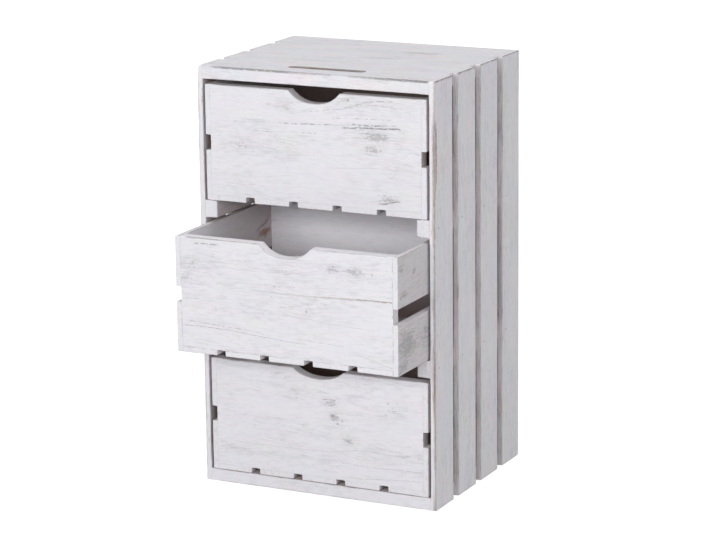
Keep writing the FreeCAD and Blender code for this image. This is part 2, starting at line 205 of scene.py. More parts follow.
def face_stain_and_shade(node):
    """How brown the thin paint of each side of a board is, with painted shade on some sides, in the same
    order.
    """
    stain_and_shade = [0.0] * 6
    if "side_slat" in node:
        stain_and_shade[inner_side(node)] = 0.8
        # Faces in the gaps between the slats are browner, partly as painted shade in the gaps
        stain_and_shade[FRONT] = 0.0 if node.endswith("_1") else 0.22
        stain_and_shade[REAR] = 0.1 if node.endswith("_4") else 0.22
    elif "runner" in node:
        stain_and_shade = [0.45, 0.45, 0.0, 0.8, 0.6, 0.6]
    elif node == "top_board":
        stain_and_shade[UNDER] = 0.9
    elif node == "bottom_board":
        stain_and_shade[OVER] = 0.6
    elif node == "back_panel":
        stain_and_shade[FRONT] = 0.9
    elif is_drawer_front(node):
        # Painted shade: the ends of the closed drawers' fronts are browner than the open drawer's
        stain_and_shade[LEFT] = stain_and_shade[RIGHT] = 0.1 if node.startswith("middle") else 0.5
        stain_and_shade[REAR] = 0.15
        stain_and_shade[OVER] = 0.04
    elif node.endswith("_drawer_back"):
        # Painted shade: the closed drawers' backs are brown inside, the open drawer's white
        stain_and_shade[FRONT] = 0.0 if node.startswith("middle") else 0.85
        stain_and_shade[REAR] = 0.4
    elif node.endswith("_side"):
        stain_and_shade[inner_side(node)] = 0.02
        stain_and_shade[outer_side(node)] = 0.2
        stain_and_shade[OVER] = stain_and_shade[UNDER] = 0.15
    elif "bottom_slat" in node:
        stain_and_shade = [0.7, 0.7, 0.0, 0.6, 0.5, 0.3]
    return stain_and_shade


def seam_strength(board):
    """How much of the joints beside a board shows as a dark line."""
    return {"middle_drawer": 0.55, "case": 0.3}.get(board.body, 0.16)


def mottling(node):
    """How much the paint of a board varies in tint and thickness, from 0 to 1."""
    if node.endswith("_side"):
        return 0.5
    if "side_slat" in node:
        return 1.0
    return 0.9 if node == "top_board" else 0.15


# Rubbed patches on one side of a board, in millimetres from its low corner: middle along the
# grain and across it, half length and half height, turn in degrees, and how worn it is
RUBBED = {
    ("top_drawer_front", FRONT): [
        (222, 99, 48, 6, 1, 0.7),
        (226, 88, 32, 11, 0, 0.86),
        (222, 72, 26, 12, 0, 0.75),
        (212, 128, 52, 9, 4, 0.62),
        (242, 12, 26, 9, 8, 0.74),
        (46, 66, 40, 15, 0, 0.62),
        (60, 92, 50, 8, 1, 0.4),
        (110, 60, 40, 10, 0, 0.3),
        (265, 122, 24, 16, 0, 0.4),
        (189, 34, 10, 12, 0, 0.36),
        (104, 117, 22, 13, -35, 0.62),
        (190, 10, 40, 8, 3, 0.4),
        (238, 72, 50, 55, 0, 0.38),
    ],
    ("middle_drawer_front", FRONT): [
        (206, 116, 20, 11, 0, 0.72),
        (140, 118, 26, 12, 0, 0.6),
        (237, 116, 26, 12, 0, 0.78),
        (140, 89, 50, 6, 1, 0.48),
        (150, 62, 60, 18, -3, 0.36),
        (60, 30, 60, 8, -4, 0.42),
        (36, 132, 24, 5, 0, 0.55),
        (20, 104, 34, 20, 0, 0.62),
        (8, 92, 14, 12, 0, 0.6),
        (262, 12, 34, 9, -12, 0.5),
        (70, 90, 40, 10, 0, 0.4),
        (150, 78, 100, 50, 0, 0.36),
    ],
    ("bottom_drawer_front", FRONT): [
        (160, 100, 17, 12, 0, 0.72),
        (166, 80, 13, 12, 0, 0.8),
        (184, 51, 14, 10, 0, 0.72),
        (176, 36, 13, 7, 0, 0.5),
        (116, 102, 20, 15, 0, 0.6),
        (246, 96, 24, 18, 0, 0.62),
        (245, 38, 50, 9, 2, 0.45),
        (90, 22, 60, 8, 1, 0.35),
    ],
    ("middle_drawer_right_upper_side", RIGHT): [
        (9, 50, 20, 16, 0, 0.72),
        (18, 14, 26, 14, 0, 0.75),
        (46, 38, 10, 7, 0, 0.85),
        (50, 30, 50, 26, 0, 0.5),
    ],
    ("middle_drawer_right_lower_side", RIGHT): [
        (24, 34, 50, 34, 0, 0.85),
        (80, 36, 44, 26, 0, 0.7),
        (14, 10, 30, 16, 0, 0.8),
    ],
    ("right_side_slat_4", RIGHT): [(180, 4, 30, 8, 0, 0.6), (420, 6, 60, 6, 0, 0.5)],
    ("right_side_slat_2", RIGHT): [(505, 44, 26, 10, 0, 0.6), (430, 6, 50, 6, 0, 0.5)],
}

# Rubbed lines on one side of a board, in millimetres: width, how broken up the line is, and its
# points, each with its place along and across the board and the strength of the line there
LINES = {
    ("top_drawer_front", FRONT): [
        (2.4, 0.48, [
            (32, 94.7, 0.4), (93, 97.8, 0.5), (107, 97.2, 0.9),
            (141, 98.7, 0.9), (183, 100.4, 0.5), (253, 103.9, 0.6),
        ]),
        (4.0, 0.36, [(183, 97, 0.7), (214, 98.7, 0.9), (236, 99.5, 1.0), (257, 100, 1.0)]),
        (3.0, 0.42, [(196, 101.8, 0.8), (222, 102.4, 1.0), (244, 103, 0.8)]),
        (1.5, 0.50, [(204, 96, 0.5), (236, 95.5, 0.5)]),
        (1.3, 0.45, [(64, 85, 0.7), (80, 85, 0.6), (105, 86.4, 0.4), (144, 87.5, 0.7)]),
        (1.6, 0.44, [(128, 114, 0.6), (173, 119, 0.6), (184, 120.5, 0.7), (211, 129, 0.8), (246, 133, 0.9)]),
        (1.3, 0.45, [(186, 121, 0.6), (229, 127, 0.7), (260, 125, 0.6)]),
        (1.8, 0.52, [(165, 108, 0.5), (210, 110, 0.7), (250, 110.5, 0.5)]),
        (3.2, 0.35, [(231, 6.9, 0.9), (246.5, 10.1, 1.0), (257, 11.9, 0.7)]),
        (1.4, 0.48, [(217, 8.6, 0.6), (240, 14, 0.5)]),
        (1.4, 0.48, [(228, 18, 0.6), (257, 17.6, 0.5)]),
        (1.2, 0.38, [(162, 46.9, 0.3), (245, 51, 0.35)]),
        (1.2, 0.38, [(170, 61.9, 0.3), (193, 64.6, 0.3)]),
        (1.6, 0.42, [(96, 127, 0.4), (110, 113, 0.4)]),
        (1.4, 0.45, [(104, 122, 0.4), (116, 110, 0.3)]),
    ],
    ("middle_drawer_front", FRONT): [
        (1.6, 0.52, [(95, 88, 0.5), (124, 88.2, 0.7), (130, 88, 1.0), (138, 88.3, 0.7), (190, 90, 0.5)]),
        (1.2, 0.38, [(80, 50.8, 0.35), (124, 53.4, 0.45), (177, 51.3, 0.4), (246, 47.3, 0.4)]),
        (1.6, 0.42, [(136, 63, 0.5), (156, 65, 0.5)]),
        (1.5, 0.34, [(5.5, 27.8, 0.7), (61, 26.8, 0.7), (115, 23.1, 0.6), (169, 20.3, 0.45)]),
        (1.6, 0.45, [(10, 33, 0.7), (61, 30.7, 0.6), (107, 28.8, 0.5)]),
        (1.2, 0.42, [(156, 25.6, 0.4), (219, 23, 0.4)]),
        (2.8, 0.42, [(22, 131.6, 0.8), (50, 132, 0.8)]),
        (2.4, 0.32, [(13, 138.0, 0.7), (56, 138.8, 0.7)]),
        (1.8, 0.46, [(56, 138.8, 0.4), (104, 138.8, 0.5)]),
        (1.4, 0.42, [(2, 87, 0.7), (16, 88, 0.5)]),
        (1.4, 0.42, [(2, 90.7, 0.6), (16, 92, 0.5)]),
        (1.4, 0.45, [(6, 105, 0.5), (16, 106, 0.4)]),
        (2.2, 0.34, [(235, 14.4, 0.3), (266, 7.4, 0.4), (286, 3, 0.4)]),
        (1.3, 0.42, [(1, 60.8, 0.45), (24, 62.2, 0.4)]),
        (1.6, 0.54, [(190, 116, 0.6), (215, 117, 0.6)]),
        (1.6, 0.54, [(215, 112, 0.6), (246, 113, 0.6)]),
    ],
    ("bottom_drawer_front", FRONT): [
        (2.2, 0.36, [(151, 102, 0.8), (165, 102.3, 0.8)]),
        (1.8, 0.42, [(151, 95, 0.7), (167, 95.6, 0.7)]),
        (1.2, 0.32, [
            (26, 32.6, 0.4), (113, 33.4, 0.4), (156, 34.8, 0.4),
            (207, 41.3, 0.5), (247, 40.4, 0.5), (284, 45, 0.6),
        ]),
        (1.3, 0.38, [(150, 24, 0.35), (209, 21.7, 0.45), (285, 23.5, 0.5)]),
        (1.4, 0.38, [(185, 5, 0.45), (282, 11.3, 0.5)]),
        (1.1, 0.42, [(30, 20, 0.3), (120, 22, 0.3)]),
        (1.1, 0.46, [(60, 54, 0.3), (150, 55, 0.3)]),
    ],
    ("top_board", OVER): [
        (26.0, 0.28, [(184, 187, 0.1), (212, 188, 0.4), (238, 190, 0.1)]),
        (22.0, 0.30, [(150, 133, 0.1), (178, 135, 0.3), (206, 138, 0.1)]),
        (11.0, 0.34, [(14, 1.5, 0.3), (40, 1.5, 0.9), (105, 1.5, 0.9), (135, 1.5, 0.5), (175, 1.5, 0.5)]),
        (11.0, 0.34, [(200, 1.5, 0.3), (235, 1.5, 0.7), (280, 1.5, 1.0), (303, 1.5, 1.0)]),
    ],
}

# Cracks and stains where brown wood shows, written as the rubbed lines are
CRACKS = {
    ("middle_drawer_front", FRONT): [
        (3.4, 0.15, [
            (100, 80.2, 0.2), (168, 79.6, 0.4), (198, 80.6, 0.6), (228, 81.8, 0.75), (286, 83, 0.9),
        ]),
    ],
    ("bottom_drawer_front", FRONT): [
        (3.2, 0.34, [(178, 53.5, 0.35), (190, 50, 0.35)]),
    ],
    ("middle_drawer_left_upper_side", RIGHT): [
        (11.0, 0.20, [(196, 29, 0.3), (210, 32, 0.7), (224, 36, 0.9), (231, 44, 0.8), (236, 56, 0.7)]),
        (16.0, 0.25, [(200, 22, 0.2), (216, 22, 0.6), (234, 24, 0.5)]),
    ],
    ("right_side_slat_1", RIGHT): [
        (11.0, 0.22, [(390, 2, 0.3), (424, 5, 0.9), (462, 5, 1.0), (484, 3, 0.4)]),
        (5.0, 0.46, [(60, 1, 0.3), (300, 1, 0.4), (412, 1, 0.7), (478, 1, 0.3), (525, 1, 0.3)]),
    ],
}

# Brown knots and grey spots on one side of a board: millimetres along and across, radius, and
# strength
KNOTS = {
    ("top_drawer_front", FRONT): [(189, 131.3, 2.6, 0.7)],
    ("middle_drawer_left_upper_side", RIGHT): [
        (208, 24, 5.0, 0.6),
        (215, 23, 7.5, 0.9),
        (222, 22.5, 8.0, 1.0),
        (229, 24, 5.5, 0.7),
    ],
}
SPOTS = {
    ("top_drawer_front", FRONT): [(81, 119, 1.8, 0.5), (188, 40, 1.6, 0.3)],
    ("middle_drawer_front", FRONT): [(171, 61, 3.0, 0.5), (124, 75, 2.0, 0.4), (259, 114, 3.0, 0.4)],
    ("middle_drawer_right_upper_side", RIGHT): [(46, 38, 4.0, 0.5), (8, 12, 3.0, 0.4)],
    ("bottom_drawer_front", FRONT): [
        (163, 82, 4.6, 0.85),
        (164, 77, 3.4, 0.6),
        (169.5, 72.3, 2.6, 0.7),
        (176, 76, 2.0, 0.6),
        (184, 52, 6.0, 0.4),
        (239, 107, 2.2, 0.5),
        (236, 91, 2.4, 0.55),
        (252, 108, 1.8, 0.45),
    ],
}


def has_marks(node):
    return any(node == marked for table in (LINES, CRACKS, KNOTS, SPOTS) for marked, _ in table)


# Corners worn round in the plane of a slat's face: the slat, which end of the depth and of
# the height it is, and the radius in millimetres
WORN_CORNERS = {
    "left_side_slat_1": [(0, 1, 9.0)],
    "right_side_slat_1": [(0, 1, 2.2), (0, 0, 1.5)],
    "right_side_slat_2": [(1, 1, 4.0), (1, 0, 2.5)],
    "right_side_slat_3": [(1, 0, 2.5), (0, 1, 2.0)],
    "right_side_slat_4": [(1, 0, 3.0), (1, 1, 2.0)],
}


# Mesh of a board

def stations(length, step, extra=()):
    """Places along one side of a board: close together at both ends, evenly spread between."""
    ends = np.array(EDGE_LINES_MM) * MM
    near = ends[ends < END_LINES_SHARE * length]
    count = max(1, round((length - 2 * near[-1]) / step))
    between = np.linspace(near[-1], length - near[-1], count + 1)
    lines = np.concatenate([near[:-1], between, length - near[:-1]])
    for place in extra:
        lines = lines[np.abs(lines - place) > LINE_CLEARANCE * step]
    return np.unique(np.round(np.concatenate([lines, extra]), LINE_DIGITS))


def skin(lines, solid):
    """Points and outward quads of the skin round the solid cells of a lattice."""
    counts = [len(line) for line in lines]
    number = np.arange(np.prod(counts)).reshape(counts)
    filled = np.pad(solid, 1).astype(np.int8)
    quads = []
    for axis in range(3):
        first, second = [other for other in range(3) if other != axis]
        change = np.diff(filled, axis=axis)
        for sign in (1, -1):
            cells = np.argwhere(change == sign)
            cells[:, [first, second]] -= 1
            corners = []
            for one, two in ((0, 0), (1, 0), (1, 1), (0, 1)):
                corner = cells.copy()
                corner[:, first] += one
                corner[:, second] += two
                corners.append(number[tuple(corner.T)])
            quad = np.stack(corners, -1)
            outward = (sign == -1) != (axis == 1)
            quads.append(quad if outward else quad[:, ::-1])
    used, quads = np.unique(np.concatenate(quads), return_inverse=True)
    points = np.stack(np.meshgrid(*lines, indexing="ij"), -1).reshape(-1, 3)[used]
    return points, quads.reshape(-1, 4)


def lumps(points, spans, shift):
    """Smooth noise from -1 to 1, with the size of its lumps given along each axis."""
    places = points / np.array(spans) + shift
    return np.array([noise.noise(Vector(place)) for place in places])


def swells(points, spans, shift):
    """The same noise from 0 to 1."""
    return 0.5 + 0.5 * lumps(points, spans, shift)


def grain_spans(board, along, across):
    """Lump sizes that follow the grain of a board."""
    spans = [across] * 3
    spans[board.grain] = along
    return spans


def edge_distance(points, size):
    """How far each point of a box's skin is from the nearest edge of the box."""
    gaps = np.concatenate([points, size - points], axis=1)
    return np.minimum(np.sort(gaps, axis=1)[:, 1], EDGE_DISTANCE_LIMIT)


def round_edges(points, size, radius):
    """Rolls the edges of a box over, with a radius of its own at each point."""
    reach = radius[:, None]
    core = np.clip(points, reach, size - reach)
    out = points - core
    length = np.linalg.norm(out, axis=1, keepdims=True)
    return core + out / np.maximum(length, TINY) * reach


def joint_distance(board, points, others):
    """How far each point is from the nearest other board of the same body, up to a limit."""
    distance = np.full(len(points), JOINT_REACH)
    places = points + board.low
    for other in others:
        gap = np.maximum(other.low - places, places - other.low - other.size)
        distance = np.minimum(distance, np.linalg.norm(np.maximum(gap, 0), axis=1))
    return distance


def freedom(distance):
    """Zero in a joint of the board, and one well away from all of them."""
    share = np.clip((distance - JOINT_TOUCH) / (JOINT_REACH - JOINT_TOUCH), 0, 1)
    return share * share * (3 - 2 * share)


def wander_edges(board, points, shift):
    """Pulls the long edges of a board in unevenly, as on handsawn and rubbed boards."""
    across = points[:, board.wide]
    size = board.size[board.wide]
    for sign, gap in ((1, across), (-1, size - across)):
        wave = swells(points, grain_spans(board, *EDGE_WANDER_LUMPS), shift + sign)
        closeness = np.clip(1 - gap / min(EDGE_WANDER_REACH, size / 3), 0, 1)
        across = across + sign * EDGE_WANDER * wave * closeness
    moved = points.copy()
    moved[:, board.wide] = across
    return moved


def sink_faces(board, points, shift):
    """Leaves the broad faces slightly uneven, always inside the board's box."""
    depth = points[:, board.thick]
    size = board.size[board.thick]
    sink = FACE_SINK + FACE_SWELL * swells(points, grain_spans(board, *FACE_LUMPS), shift)
    moved = points.copy()
    moved[:, board.thick] = size / 2 + (depth - size / 2) * (1 - 2 * sink / size)
    return moved


def round_corner(points, size, corner):
    """Wears one corner of a slat's face round."""
    rear, top, radius = corner
    radius *= MM
    ends = np.array((rear, top)) * size[1:]
    out = radius - np.abs(ends - points[:, 1:])
    inside = (out > 0).all(axis=1, keepdims=True)
    length = np.maximum(np.linalg.norm(out, axis=1, keepdims=True), TINY)
    gaps = radius - out * (out.max(axis=1, keepdims=True) / length)
    moved = points.copy()
    moved[:, 1:] = np.where(inside, np.abs(ends - gaps), points[:, 1:])
    return moved


def scoop_drop(across, depth):
    """How far the top edge of a front lies below its ends, at a distance from the middle."""
    half = SCOOP_WIDTH / 2
    both_radii = (half**2 + depth**2) / (2 * depth)
    bottom = both_radii - SCOOP_SHOULDER
    change = half * bottom / both_radii
    distance = half * (np.abs(across) / half) ** SCOOP_FLATNESS
    low = depth - bottom + np.sqrt(np.maximum(bottom**2 - distance**2, 0))
    beside = np.clip(half - distance, 0, SCOOP_SHOULDER)
    shoulder = SCOOP_SHOULDER - np.sqrt(SCOOP_SHOULDER**2 - beside**2)
    return np.where(distance < change, low, shoulder)


def cut_scoop(board, points):
    """Presses the middle of the top edge down into the scoop and fades that out below it."""
    height = board.size[2]
    drop = scoop_drop(points[:, 0] - board.size[0] / 2, SCOOP_DEPTHS[board.node])
    share = np.clip(1 - (height - points[:, 2]) / SCOOP_FADE, 0, 1)
    moved = points.copy()
    moved[:, 2] -= drop * share * share * (3 - 2 * share)
    return moved


def cut_slot(board, points):
    """Turns a rectangular hole into a slot with round ends and rounded rims."""
    radius = SLOT_WIDTH / 2
    straight = (SLOT_LENGTH - SLOT_WIDTH) / 2
    middle = board.size[0] / 2
    beyond = np.abs(points[:, 0] - middle) - straight
    beside = np.abs(points[:, 1] - SLOT_SETBACK)
    depth = np.minimum(points[:, 2], board.size[2] - points[:, 2])
    ring = np.maximum(np.maximum(beyond, beside), radius)
    outside = ring - radius
    section = np.stack([outside, depth], -1)
    core = np.maximum(section, SLOT_RIM)
    out = section - core
    length = np.maximum(np.linalg.norm(out, axis=1, keepdims=True), TINY)
    rolled = np.where(length > SLOT_RIM, core + out / length * SLOT_RIM, section)
    scale = (radius + rolled[:, 0]) / ring
    at_end = beyond > 0
    beyond = np.where(at_end, beyond * scale, beyond)
    beside = beside * scale
    ring = np.maximum(beyond, beside)
    fade = np.clip((ring - radius) / SLOT_COLLAR, 0, 1)
    distance = np.maximum(np.hypot(beyond, beside), TINY)
    circle = (ring / distance) * (1 - fade) + fade
    beyond = np.where(at_end, beyond * circle, beyond)
    beside = np.where(at_end, beside * circle, beside)
    moved = points.copy()
    moved[:, 0] = middle + np.sign(points[:, 0] - middle) * (beyond + straight)
    moved[:, 1] = SLOT_SETBACK + np.sign(points[:, 1] - SLOT_SETBACK) * beside
    upper = points[:, 2] > board.size[2] / 2
    moved[:, 2] = np.where(upper, board.size[2] - rolled[:, 1], rolled[:, 1])
    return moved


def board_lines(board):
    """The three sets of lattice lines of a board."""
    step = [WIDTH_STEP] * 3
    step[board.grain] = GRAIN_STEP
    extra = [[], [], []]
    if is_drawer_front(board.node):
        step = [FRONT_STEP, WIDTH_STEP, FRONT_STEP]
        inward = SCOOP_WIDTH / 2 - SCOOP_SHOULDER * np.array(SHOULDER_SHARES)
        for side in (-1, 1):
            extra[0].extend(board.size[0] / 2 + side * inward)
    if board.node == "top_board":
        places = np.array(SLOT_LINES_MM) * MM
        ends = (SLOT_LENGTH - SLOT_WIDTH) / 2
        collar = SLOT_WIDTH / 2 + np.array((SLOT_RIM / 3, SLOT_RIM, 2 * SLOT_RIM, SLOT_COLLAR))
        reach = np.concatenate([places, collar])
        for side in (-1, 1):
            extra[0].extend(board.size[0] / 2 + side * (ends + reach))
            extra[1].extend(SLOT_SETBACK + side * reach)
    return [stations(board.size[axis], step[axis], sorted(set(extra[axis]))) for axis in range(3)]


def slot_cells(board, lines):
    """Which cells of the top board are solid, all but those of the slot."""
    middles = [(line[1:] + line[:-1]) / 2 for line in lines]
    across, along, _ = np.meshgrid(*middles, indexing="ij")
    hole = np.abs(across - board.size[0] / 2) < SLOT_LENGTH / 2
    hole &= np.abs(along - SLOT_SETBACK) < SLOT_WIDTH / 2
    return ~hole


def on_side(board, points, side):
    """Which points lie on one side of the board's box."""
    axis, end = divmod(side, 2)
    return np.abs(points[:, axis] - end * board.size[axis]) < SIDE_TOUCH


def spread_over_sides(board, points, values, hidden):
    """The value of each point, from the sides of the box that it lies on."""
    total = np.zeros(len(points))
    weight = np.zeros(len(points))
    for side, value in enumerate(values):
        here = on_side(board, points, side)
        total += np.where(here, value, 0)
        weight += here
    return np.where(weight > 0, total / np.maximum(weight, 1), hidden)


def wash_and_shade_amount(board, points, shift):
    """How well each point is covered with paint, less where shade is painted."""
    wash_and_shade = spread_over_sides(board, points, face_wash_and_shade(board.node), HIDDEN_WASH_AND_SHADE)
    outer = outer_side(board.node)
    if "side_slat" in board.node:
        wave = swells(points, END_LUMPS, shift)
        gap = board.size[2] - points[:, 2]
        worn = END_WEAR * np.clip(1 - gap / (END_REACH * (END_LEAST + wave)), 0, 1)
        wash_and_shade -= worn * on_side(board, points, outer)
    if board.node.endswith("side_slat_1"):
        wave = swells(points, ARRIS_LUMPS, shift)
        gap = points[:, 0]
        if outer == RIGHT:
            gap = board.size[0] - gap
        worn = ARRIS_WEAR[outer] * wave * np.clip(1 - gap / ARRIS_REACH, 0, 1)
        wash_and_shade -= worn * on_side(board, points, FRONT)
    if "bottom_slat" in board.node:
        wash_and_shade += LIP_WASH * np.clip(1 - points[:, 1] / PAINTED_LIP, 0, 1)
    return wash_and_shade


def stain_and_shade_amount(board, points):
    """How brown the paint of each point is, from stain and from painted shade."""
    stain_and_shade = spread_over_sides(board, points, face_stain_and_shade(board.node), HIDDEN_STAIN_AND_SHADE)
    # Painted shade: a drawer's sides browner inside towards the back
    if board.node.endswith("_side"):
        depth = points[:, 1] / board.size[1]
        stain_and_shade += INNER_SHADE_RISE * depth * on_side(board, points, inner_side(board.node))
    # Painted shade: the inner face of a drawer's back board browner towards its foot
    if board.node.endswith("_drawer_back"):
        height = points[:, 2] / board.size[2]
        foot = np.clip(1 - height / FOOT_SHARE, 0, 1)
        stain_and_shade += FOOT_SHADE * foot * on_side(board, points, FRONT)
    lip = np.clip(points[:, 1] / PAINTED_LIP, 0, 1)
    if board.node.endswith("side_slat_1"):
        stain_and_shade *= np.where(on_side(board, points, inner_side(board.node)), lip, 1)
    if "bottom_slat" in board.node:
        stain_and_shade *= lip
    return np.minimum(stain_and_shade, 1)


def rubbed_amount(board, points):
    """How rubbed each point is: by its board's patches, and fully where it lies on no side, on the slot's
    walls, greying them along with their thin paint and painted shade.
    """
    amount = spread_over_sides(board, points, [0.0] * 6, 1.0)
    for (node, side), patches in RUBBED.items():
        if node != board.node:
            continue
        here = on_side(board, points, side)
        for along, across, half_length, half_height, turn, strength in patches:
            turn = math.radians(turn)
            right = points[:, board.grain] / MM - along
            above = points[:, board.wide] / MM - across
            first = (right * math.cos(turn) + above * math.sin(turn)) / half_length
            second = (above * math.cos(turn) - right * math.sin(turn)) / half_height
            fading = strength * np.exp(-PATCH_FALL * (first**2 + second**2))
            amount = np.maximum(amount, fading * here)
    return amount


def worn_points(board, lattice, free, shift):
    """The points of a board's lattice, moved to where they lie on the worn board."""
    wear = np.clip(lumps(lattice, grain_spans(board, *EDGE_WEAR_LUMPS), shift), 0, 1)
    radius = TIGHT_RADIUS + (EDGE_RADIUS - TIGHT_RADIUS + EDGE_WEAR * wear) * free
    radius = np.minimum(radius, RADIUS_LIMIT * board.size.min())
    points = round_edges(lattice, board.size, radius)
    if board.node == "top_board":
        points = cut_slot(board, points)
    moved = sink_faces(board, wander_edges(board, points, shift), shift)
    points += (moved - points) * free[:, None]
    for corner in WORN_CORNERS.get(board.node, ()):
        points = round_corner(points, board.size, corner)
    if is_drawer_front(board.node):
        points = cut_scoop(board, points)
    return points


def build_board(board, others, generator):
    """The worn mesh of one board, with what its material reads stored on its points."""
    lines = board_lines(board)
    solid = np.ones([len(line) - 1 for line in lines], bool)
    if board.node == "top_board":
        solid = slot_cells(board, lines)
    lattice, quads = skin(lines, solid)
    shift = generator.uniform(0, WEAR_SPREAD, 3)
    joint = joint_distance(board, lattice, others)
    free = freedom(joint)
    points = worn_points(board, lattice, free, shift)
    mesh = bpy.data.meshes.new(board.node + "_worn")
    mesh.from_pydata((points + board.low).tolist(), [], quads.tolist())
    mesh.shade_smooth()
    wood = points[:, [board.grain, board.wide, board.thick]]
    wood = wood + generator.uniform(0, WOOD_SPREAD, 3)
    layer = mesh.attributes.new("wood", "FLOAT_VECTOR", "POINT")
    layer.data.foreach_set("vector", wood.astype(np.float32).ravel())
    stored = {
        "edge": edge_distance(lattice, board.size) + EDGE_DISTANCE_LIMIT * (1 - free),
        "wash_and_shade": wash_and_shade_amount(board, lattice, shift),
        "stain_and_shade": stain_and_shade_amount(board, lattice),
        "rubbed": rubbed_amount(board, lattice),
        "joint": joint,
        "seam": np.full(len(points), seam_strength(board)),
        "mottle": np.full(len(points), mottling(board.node)),
    }
    for name, values in stored.items():
        layer = mesh.attributes.new(name, "FLOAT", "POINT")
        layer.data.foreach_set("value", values.astype(np.float32))
    return new_object(board.node + "_worn", mesh)


# Materials

# Colours
PAINT = (0.845, 0.833, 0.876)
THIN_PAINT = (0.50, 0.465, 0.475)
SCUFF = (0.30, 0.285, 0.295)
TINTS = (0.075, 0.050, 0.060)
BARE = (0.315, 0.225, 0.180)
BARE_DARK = (0.105, 0.072, 0.058)
WEATHERED = (0.34, 0.31, 0.31)
# Brown of stained paint and bare inner wood, also standing for painted shade inside the closed drawers, on
# the drawers' backs and sides, in the slot and in the gaps between slats
STAINED_AND_SHADED = (0.38, 0.265, 0.225)
RUSTY = (0.38, 0.20, 0.12)
STEEL = (0.20, 0.185, 0.185)
STEEL_PAINTED = (0.52, 0.50, 0.51)

# Noises: whether each follows the swaying grain, its lumps in millimetres along, across and
# through the board, its detail and its roughness
NOISES = {
    "rings": (True, (420, 17, 17), 1.0, 0.5),
    "fibre": (True, (38, 1.1, 1.1), 3.0, 0.6),
    "fine": (True, (14, 0.45, 0.45), 2.0, 0.6),
    "streaks": (True, (85, 6, 6), 3.0, 0.6),
    "brush": (True, (17, 1.7, 1.7), 3.0, 0.6),
    "dabs": (False, (11, 5, 5), 3.0, 0.6),
    "specks": (False, (3.0, 1.7, 1.7), 2.0, 0.6),
    "cloud": (False, (75, 26, 26), 3.0, 0.55),
    "stretch": (False, (26, 9, 9), 3.0, 0.6),
    "patches": (False, (120, 40, 40), 2.0, 0.55),
}

# How the grain sways, and how many rings its noise makes
SWAY = 26 * MM
SWAY_LUMPS_MM = (160, 45, 45)
SWAY_DETAIL = 1.0
RING_COUNT = 11.0

# Smooth steps: where each starts and ends, and what it rises from and to if not 0 and 1

# The film of paint, thinner in late wood, by cloud and on raised fibre
LATE_WOOD = (0.30, 0.5)
LATE_WOOD_DEPTH = 0.10
CLOUD_DEPTH = 0.42
FIBRE = (0.54, 0.74)
FIBRE_DEPTH = 0.30
COVER = (0.12, 0.78)

# Width of the bare wood and of the thin paint at the edges
BARE_EDGE = (0.56, 0.84, 0.02 * MM, 4.0 * MM)
BARE_EDGE_SHARE = 0.7
THIN_EDGE = (0.30, 0.70, 0.9 * MM, 2.6 * MM)
THIN_EDGE_SHARE = 0.62

# Grey wear, by the noise that it follows, with its depth, and where it is strong
GREY = (
    ("streaks", (0.46, 0.72), 0.06),
    ("dabs", (0.46, 0.74), 0.11),
    ("specks", (0.58, 0.78), 0.16),
    ("brush", (0.46, 0.74), 0.17),
)
GREY_PLACES = (0.36, 0.64, 0.45, 1.35)

# Rubbed patches: what breaks them up, the level of it that shows, and the smear beneath
SCUFFED = {"fibre": 0.35, "specks": 0.4, "dabs": 0.25}
SCUFF_LIMIT = (0.0, 1.0, 0.72, 0.32)
SCUFF_EDGE = (0.0, 0.14)
SCUFF_SHARE = 0.6
SMEAR_BRUSH = (0.30, 0.62, 0.1, 0.24)
SMEAR_DABS = (0.28, 0.60, 0.3, 1.0)

# Dark lines in open joints, and where they break off
SEAM = (1.1 * MM, 0.1 * MM)
SEAM_GAPS = (0.42, 0.62, 0.05, 1.0)

# Tint by the board's mottling, and late and weathered wood laid bare
TINT_RANGE = (0.0, 1.0, 0.8, 2.6)
TINT_LUMPS_MM = (55, 15, 15)
LATE_WOOD_SHARE = 0.6
WEATHERING = (0.35, 0.85)

# Roughness from bare wood to paint, and relief
GLOSS = (0.0, 1.0, 0.82, 0.62)
SPECULAR = 0.3
RELIEF = {"fibre": -0.30, "fine": -0.16, "late_wood": 0.12, "cover": 0.45, "grey": -0.4}
BUMP_STRENGTH = 0.55
BUMP_DEPTH = 0.35 * MM

# Marks: how deep they reach, how they are shaken, how far lines run on past their ends, the noise
# that swells marks and breaks lines up, how softly, and edges as shares of width or radius
MARK_DEPTH = 3 * MM
MARK_SHAKE = 2.4 * MM
SHAKE_LUMPS_MM = (7, 7, 7)
LINE_FADE = 4 * MM
GAP_LUMPS_MM = (6, 2.2)
GAP_DETAIL = 3.0
GAP_ROUGHNESS = 0.65
SWELL = (0.35, 0.7, 0.4, 1.1)
GAP_EDGE = (-0.06, 0.10)
LINE_EDGE = (0.5, 0.125)
SPOT_EDGE = (1.3, 0.4)

# How much of the paint a crack and a knot take away
CRACK_SHARE = 0.75
KNOT_SHARE = 0.85

# Brad heads: the levels below and above which they are painted, and their wear between
PAINTED_BELOW = 20 * MM
PAINTED_ABOVE = 512 * MM
STEEL_WEAR = (0.42, 0.62)
STEEL_LUMPS_MM = (2.5, 2.5, 2.5)
STEEL_GLOSS = (0.0, 1.0, 0.45, 0.65)


